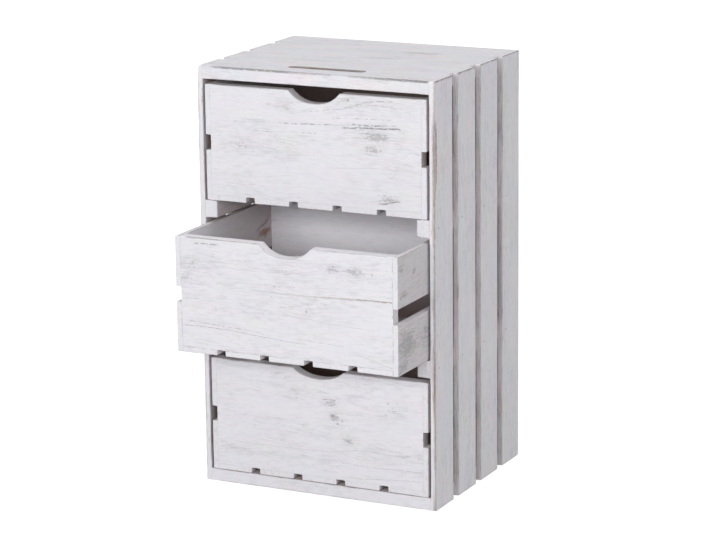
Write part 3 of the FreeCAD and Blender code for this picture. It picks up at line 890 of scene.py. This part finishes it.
class Shader:
    """Short calls for the nodes of one material or world."""

    def __init__(self, owner, surface="Principled BSDF"):
        owner.use_nodes = True
        self.owner = owner
        self.tree = owner.node_tree
        self.surface = self.tree.nodes[surface].inputs

    def node(self, kind, **settings):
        made = self.tree.nodes.new(kind)
        for name, value in settings.items():
            setattr(made, name, value)
        return made

    def feed(self, socket, value):
        if isinstance(value, bpy.types.NodeSocket):
            self.tree.links.new(value, socket)
        else:
            socket.default_value = value

    def put(self, name, value):
        """Sets one input of the surface."""
        self.feed(self.surface[name], value)

    def operate(self, kind, operation, values):
        made = self.node(kind, operation=operation)
        for socket, value in zip(made.inputs, values):
            self.feed(socket, value)
        return made.outputs

    def math(self, operation, *values):
        return self.operate("ShaderNodeMath", operation, values)[0]

    def vector(self, operation, *values):
        outputs = self.operate("ShaderNodeVectorMath", operation, values)
        return outputs["Value" if operation == "LENGTH" else "Vector"]

    def fold(self, operation, total, *values):
        """The same operation on one value after another."""
        for value in values:
            total = self.math(operation, total, value)
        return total

    plus = partialmethod(fold, "ADD")
    minus = partialmethod(fold, "SUBTRACT")
    times = partialmethod(fold, "MULTIPLY")
    largest = partialmethod(fold, "MAXIMUM")

    def without(self, amount, share):
        """What is left of one when a share of the amount is taken away."""
        return self.minus(1.0, self.times(amount, share))

    def scaled(self, vector, factor):
        made = self.node("ShaderNodeVectorMath", operation="SCALE")
        self.feed(made.inputs[0], vector)
        self.feed(made.inputs["Scale"], factor)
        return made.outputs[0]

    def part(self, vector, axis):
        split = self.node("ShaderNodeSeparateXYZ")
        self.feed(split.inputs[0], vector)
        return split.outputs[int(axis)]

    def attribute(self, name):
        made = self.node("ShaderNodeAttribute", attribute_name=name)
        return made.outputs["Vector" if name == "wood" else "Fac"]

    def noise_node(self, place, lumps_mm, detail=2.0, roughness=0.5):
        """A noise with lumps of these sizes along the axes of the place."""
        made = self.node("ShaderNodeTexNoise")
        for name, value in (("Scale", 1.0), ("Detail", detail), ("Roughness", roughness)):
            made.inputs[name].default_value = value
        scaled = self.vector("MULTIPLY", place, [1 / (lump * MM) for lump in lumps_mm])
        self.feed(made.inputs["Vector"], scaled)
        return made

    def noise(self, *settings):
        """One such noise from 0 to 1."""
        return self.noise_node(*settings).outputs["Fac"]

    def drift(self, *settings):
        """Three such noises round 0, as a vector."""
        return self.vector("SUBTRACT", self.noise_node(*settings).outputs["Color"], [0.5, 0.5, 0.5])

    def ramp(self, value, start, end, low=0.0, high=1.0):
        """A smooth step from low at start to high at end."""
        made = self.node("ShaderNodeMapRange", interpolation_type="SMOOTHSTEP")
        for socket, setting in zip(made.inputs, (value, start, end, low, high)):
            self.feed(socket, setting)
        return made.outputs["Result"]

    def mix(self, share, first, second):
        made = self.node("ShaderNodeMix", data_type="RGBA")
        self.feed(made.inputs["Factor"], share)
        for name, value in (("A", first), ("B", second)):
            socket = next(s for s in made.inputs if s.name == name and s.type == "RGBA")
            self.feed(socket, value if isinstance(value, bpy.types.NodeSocket) else (*value, 1.0))
        return next(s for s in made.outputs if s.type == "RGBA")


class MarkedSide:
    """One side of a board, with its marks drawn in places along and across it."""

    def __init__(self, shader, board, side):
        self.shader = shader
        self.length = board.size[board.grain]
        self.width = board.size[board.wide]
        coordinates = shader.node("ShaderNodeTexCoord").outputs["Object"]
        place = shader.vector("SUBTRACT", coordinates, board.low.tolist())
        axis, end = divmod(side, 2)
        depth = shader.part(place, axis)
        if end:
            depth = shader.minus(board.size[axis], depth)
        self.near = shader.ramp(depth, MARK_DEPTH, MARK_DEPTH / 2)
        shake = shader.scaled(shader.drift(place, SHAKE_LUMPS_MM), MARK_SHAKE)
        place = shader.vector("ADD", place, shake)
        self.along = shader.part(place, board.grain)
        self.across = shader.part(place, board.wide)
        lumps_mm = grain_spans(board, *GAP_LUMPS_MM)
        self.gaps = shader.noise(place, lumps_mm, GAP_DETAIL, GAP_ROUGHNESS)
        self.swell = shader.ramp(self.gaps, *SWELL)
        self.kept = {}

    def curve(self, points):
        """A curve of a share of the length, through points with values from 0 to 1."""
        node = self.shader.node("ShaderNodeFloatCurve")
        line = node.mapping.curves[0]
        for point, place in zip(line.points, (points[0], points[-1])):
            point.location = place
        for place in points[1:-1]:
            line.points.new(*place)
        for point in line.points:
            point.handle_type = "AUTO_CLAMPED"
        node.mapping.update()
        self.shader.feed(node.inputs["Value"], self.shader.math("DIVIDE", self.along, self.length))
        return node.outputs["Value"]

    def line(self, width, broken, points):
        """A thin line of uneven width with gaps in it."""
        shader = self.shader
        places = [(along * MM / self.length, across * MM / self.width) for along, across, _ in points]
        strengths = [(along * MM / self.length, strength) for along, _, strength in points]
        fade = LINE_FADE / self.length
        start = max(0.0, strengths[0][0] - fade)
        end = min(1.0, strengths[-1][0] + fade)
        path = self.curve([(0, places[0][1]), *places, (1, places[-1][1])])
        distance = shader.math("ABSOLUTE", shader.minus(self.across, shader.times(path, self.width)))
        distance = shader.math("DIVIDE", distance, self.swell)
        core = shader.ramp(distance, *(width * share * MM for share in LINE_EDGE))
        if broken not in self.kept:
            self.kept[broken] = shader.ramp(self.gaps, *(broken + edge for edge in GAP_EDGE))
        strength = self.curve([(0, 0), (start, 0), *strengths, (end, 0), (1, 0)])
        return shader.times(core, self.kept[broken], strength)

    def spot(self, along, across, radius, strength):
        """A round blot with a soft edge."""
        shader = self.shader
        right = shader.minus(self.along, along * MM)
        above = shader.minus(self.across, across * MM)
        squares = shader.plus(shader.times(right, right), shader.times(above, above))
        distance = shader.math("DIVIDE", shader.math("SQRT", squares), self.swell)
        core = shader.ramp(distance, *(radius * share * MM for share in SPOT_EDGE))
        return shader.times(core, strength)

    def total(self, lines, spots):
        """The strongest of these marks at each point of the side, and none away from it."""
        found = [self.line(*line) for line in lines]
        found += [self.spot(*spot) for spot in spots]
        return self.shader.times(self.shader.largest(0.0, *found), self.near)


def marks(shader, board):
    """How strongly grey lines and spots, brown cracks, and knots mark each point of a board."""
    kinds = ((LINES, SPOTS), (CRACKS, {}), ({}, KNOTS))
    found = [0.0] * len(kinds)
    sides = {key for pair in kinds for table in pair for key in table if key[0] == board.node}
    for key in sorted(sides):
        side = MarkedSide(shader, board, key[1])
        for index, (lines, spots) in enumerate(kinds):
            mask = side.total(lines.get(key, ()), spots.get(key, ()))
            found[index] = shader.largest(found[index], mask)
    return found


def wood_noises(shader, wood):
    """The noises of the whitewash, and the late wood that one of them gives."""
    sway = shader.minus(shader.noise(wood, SWAY_LUMPS_MM, SWAY_DETAIL), 0.5)
    swaying = shader.vector("ADD", wood, shader.scaled([0, SWAY, 0], sway))
    found = {}
    for name, (sways, *settings) in NOISES.items():
        found[name] = shader.noise(swaying if sways else wood, *settings)
    rings = shader.times(found["rings"], RING_COUNT)
    found["late_wood"] = shader.ramp(shader.math("PINGPONG", rings, 0.5), *LATE_WOOD)
    return found


def paint_cover(shader, noises):
    """How well paint covers each point: a film, thick by place and thinner where shade is painted, and bare
    wood on worn edges.
    """
    cloud = shader.times(shader.minus(noises["cloud"], 0.5), CLOUD_DEPTH)
    late_wood = shader.times(noises["late_wood"], LATE_WOOD_DEPTH)
    fibre = shader.times(shader.ramp(noises["fibre"], *FIBRE), FIBRE_DEPTH)
    film = shader.minus(shader.plus(shader.attribute("wash_and_shade"), cloud), late_wood, fibre)
    width = shader.ramp(noises["stretch"], *BARE_EDGE)
    edge = shader.ramp(shader.attribute("edge"), width, 0.0)
    return shader.times(shader.ramp(film, *COVER), shader.without(edge, BARE_EDGE_SHARE))


def grey_wear(shader, noises):
    """How grey each point is: from wear all over, rubbed patches and open joints."""
    smudges = [shader.times(shader.ramp(noises[name], *step), depth) for name, step, depth in GREY]
    smudged = shader.times(shader.plus(*smudges), shader.ramp(noises["patches"], *GREY_PLACES))

    rubbed = shader.attribute("rubbed")
    by_brush = shader.ramp(noises["brush"], *SMEAR_BRUSH)
    by_dabs = shader.ramp(noises["dabs"], *SMEAR_DABS)
    smudged = shader.plus(smudged, shader.times(rubbed, by_brush, by_dabs))
    broken = shader.plus(*(shader.times(noises[name], share) for name, share in SCUFFED.items()))
    above = shader.minus(broken, shader.ramp(rubbed, *SCUFF_LIMIT))
    scuffed = shader.times(shader.ramp(above, *SCUFF_EDGE), SCUFF_SHARE)

    seam = shader.times(shader.attribute("seam"), shader.ramp(noises["stretch"], *SEAM_GAPS))
    seam = shader.times(shader.ramp(shader.attribute("joint"), *SEAM), seam)
    return shader.largest(smudged, scuffed, seam)


def paint_colour(shader, wood, noises, grey):
    """The paint with its tints, its stain and painted shade, its thin edges and its grey wear."""
    swing = shader.vector("MULTIPLY", shader.drift(wood, TINT_LUMPS_MM), list(TINTS))
    swing = shader.scaled(swing, shader.ramp(shader.attribute("mottle"), *TINT_RANGE))
    paint = shader.vector("ADD", swing, list(PAINT))
    # The paint browned by stain and by painted shade
    paint = shader.mix(shader.attribute("stain_and_shade"), paint, STAINED_AND_SHADED)
    width = shader.ramp(noises["stretch"], *THIN_EDGE)
    thin = shader.times(shader.ramp(shader.attribute("edge"), width, 0.0), THIN_EDGE_SHARE)
    paint = shader.mix(thin, paint, THIN_PAINT)
    return shader.mix(grey, paint, SCUFF)


def whitewash(name, board=None):
    """Thin white paint over brown softwood, worn at the edges and along the grain."""
    shader = Shader(bpy.data.materials.new(name))
    wood = shader.attribute("wood")
    noises = wood_noises(shader, wood)
    cover = paint_cover(shader, noises)
    grey = grey_wear(shader, noises)
    knots = 0.0
    if board is not None:
        grey_marks, cracks, knots = marks(shader, board)
        grey = shader.largest(grey, grey_marks)
        left = shader.without(cracks, CRACK_SHARE), shader.without(knots, KNOT_SHARE)
        cover = shader.times(cover, *left)
    bare = shader.mix(shader.times(noises["late_wood"], LATE_WOOD_SHARE), BARE, BARE_DARK)
    bare = shader.mix(shader.ramp(noises["fibre"], *WEATHERING), bare, WEATHERED)
    bare = shader.mix(knots, bare, RUSTY)
    paint = paint_colour(shader, wood, noises, grey)
    shader.put("Base Color", shader.mix(cover, bare, paint))
    shader.put("Roughness", shader.ramp(cover, *GLOSS))
    shader.put("Specular IOR Level", SPECULAR)

    layers = {**noises, "cover": cover, "grey": grey}
    height = shader.plus(*(shader.times(layers[layer], depth) for layer, depth in RELIEF.items()))
    bump = shader.node("ShaderNodeBump")
    bump.inputs["Strength"].default_value = BUMP_STRENGTH
    bump.inputs["Distance"].default_value = BUMP_DEPTH
    shader.feed(bump.inputs["Height"], height)
    shader.put("Normal", bump.outputs["Normal"])
    return shader.owner


def painted_steel():
    """Brad heads: painted over at both ends of the case, rubbed bare between them."""
    shader = Shader(bpy.data.materials.new("painted_brads"))
    place = shader.node("ShaderNodeTexCoord").outputs["Object"]
    level = shader.part(place, 2)
    low_end = shader.ramp(level, PAINTED_BELOW, PAINTED_BELOW - MM)
    high_end = shader.ramp(level, PAINTED_ABOVE, PAINTED_ABOVE + MM)
    worn = shader.ramp(shader.noise(place, STEEL_LUMPS_MM), *STEEL_WEAR)
    colour = shader.mix(worn, STEEL, STEEL_PAINTED)
    colour = shader.mix(shader.largest(low_end, high_end), colour, PAINT)
    shader.put("Base Color", colour)
    shader.put("Roughness", shader.ramp(worn, *STEEL_GLOSS))
    return shader.owner


# Stage

# The world's light, and the floor, lifted for the camera near the object and far from it
WORLD_LEVEL = 0.19
FLOOR_SIZE = 24.0
FLOOR_COLOUR = (0.58, 0.58, 0.58)
FLOOR_ROUGHNESS = 0.9
FLOOR_LIFT_NEAR = 0.75
FLOOR_LIFT_FAR = 0.97
FLOOR_NEAR = 0.8
FLOOR_FAR = 3.5

# Soft boxes round the object, the strongest in front of it: azimuth and elevation in degrees and
# power in watts of each, and one more box above the object
WALL_BOXES = {
    "front": (-5, 16, 48.0),
    "quarter": (32, 16, 23.5),
    "side": (75, 13, 17.0),
    "left": (-105, 15, 15.0),
    "back": (170, 15, 19.0),
}
WALL_DISTANCE = 3.3
WALL_SIZE = (2.0, 0.85)
TOP_HEIGHT = 3.2
TOP_SIZE = (2.2, 2.2)
TOP_POWER = 31.0
LIT_POINT = (0, 0, 0.3)


def add_camera():
    data = bpy.data.cameras.new("camera")
    data.sensor_width = SENSOR_WIDTH_MM
    data.lens = LENS_MM
    camera = new_object("camera", data)
    turn = Matrix.Translation(CAMERA_PLACE)
    for angle, axis in ((CAMERA_AZIMUTH, "Z"), (90 - CAMERA_ELEVATION, "X"), (CAMERA_ROLL, "Z")):
        turn = turn @ Matrix.Rotation(math.radians(angle), 4, axis)
    camera.matrix_world = turn
    bpy.context.scene.camera = camera


def seen_directly(shader):
    """One where a camera, glossy or transmission ray looks, and zero for light that bounces."""
    path = shader.node("ShaderNodeLightPath").outputs
    return shader.largest(*(path[f"Is {kind} Ray"] for kind in ("Camera", "Glossy", "Transmission")))


def add_world():
    shader = Shader(bpy.data.worlds.new("studio"), "Background")
    shader.put("Color", (1, 1, 1, 1))
    shader.put("Strength", shader.ramp(seen_directly(shader), 0.0, 1.0, WORLD_LEVEL, 1.0))
    bpy.context.scene.world = shader.owner


def add_floor():
    half = FLOOR_SIZE / 2
    corners = [(-half, -half, 0), (half, -half, 0), (half, half, 0), (-half, half, 0)]
    mesh = bpy.data.meshes.new("floor")
    mesh.from_pydata(corners, [], [(0, 1, 2, 3)])
    floor = new_object("floor", mesh)
    shader = Shader(bpy.data.materials.new("pale_floor"))
    shader.put("Base Color", (*FLOOR_COLOUR, 1))
    shader.put("Roughness", FLOOR_ROUGHNESS)
    shader.put("Specular IOR Level", 0.0)
    shader.put("Emission Color", (1, 1, 1, 1))
    distance = shader.vector("LENGTH", shader.node("ShaderNodeTexCoord").outputs["Object"])
    lift = shader.ramp(distance, FLOOR_NEAR, FLOOR_FAR, FLOOR_LIFT_NEAR, FLOOR_LIFT_FAR)
    shader.put("Emission Strength", shader.times(seen_directly(shader), lift))
    mesh.materials.append(shader.owner)


def add_soft_box(name, place, size, power):
    data = bpy.data.lights.new(name, "AREA")
    data.shape = "RECTANGLE"
    data.size, data.size_y = size
    data.energy = power
    lamp = new_object(name, data)
    direction = Vector(LIT_POINT) - Vector(place)
    turn = direction.to_track_quat("-Z", "Y").to_matrix().to_4x4()
    lamp.matrix_world = Matrix.Translation(place) @ turn


def add_soft_boxes():
    for name, (azimuth, elevation, power) in WALL_BOXES.items():
        angle = math.radians(azimuth)
        height = LIT_POINT[2] + WALL_DISTANCE * math.tan(math.radians(elevation))
        place = (WALL_DISTANCE * math.sin(angle), -WALL_DISTANCE * math.cos(angle), height)
        add_soft_box(name, place, WALL_SIZE, power)
    add_soft_box("top", (0, 0, TOP_HEIGHT), TOP_SIZE, TOP_POWER)


def add_boards():
    generator = np.random.default_rng(SEED)
    plain = whitewash("whitewash")
    for body, nodes in frame["record"]["behaviour"]["bodies"].items():
        boards = [Board(node, body) for node in nodes if not node.endswith("brads")]
        for board in boards:
            node = board.node
            others = [other for other in boards if other is not board]
            piece = build_board(board, others, generator)
            own = whitewash("whitewash_" + node, board) if has_marks(node) else plain
            piece.data.materials.append(own)
            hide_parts(node)
            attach(piece, body)


def dress_brads():
    material = painted_steel()
    for name, node in frame["nodes"].items():
        if name.endswith("brads"):
            node.data.materials.clear()
            node.data.materials.append(material)


add_camera()
add_world()
add_soft_boxes()
add_floor()
add_boards()
dress_brads()
bpy.context.scene.view_settings.view_transform = "Standard"
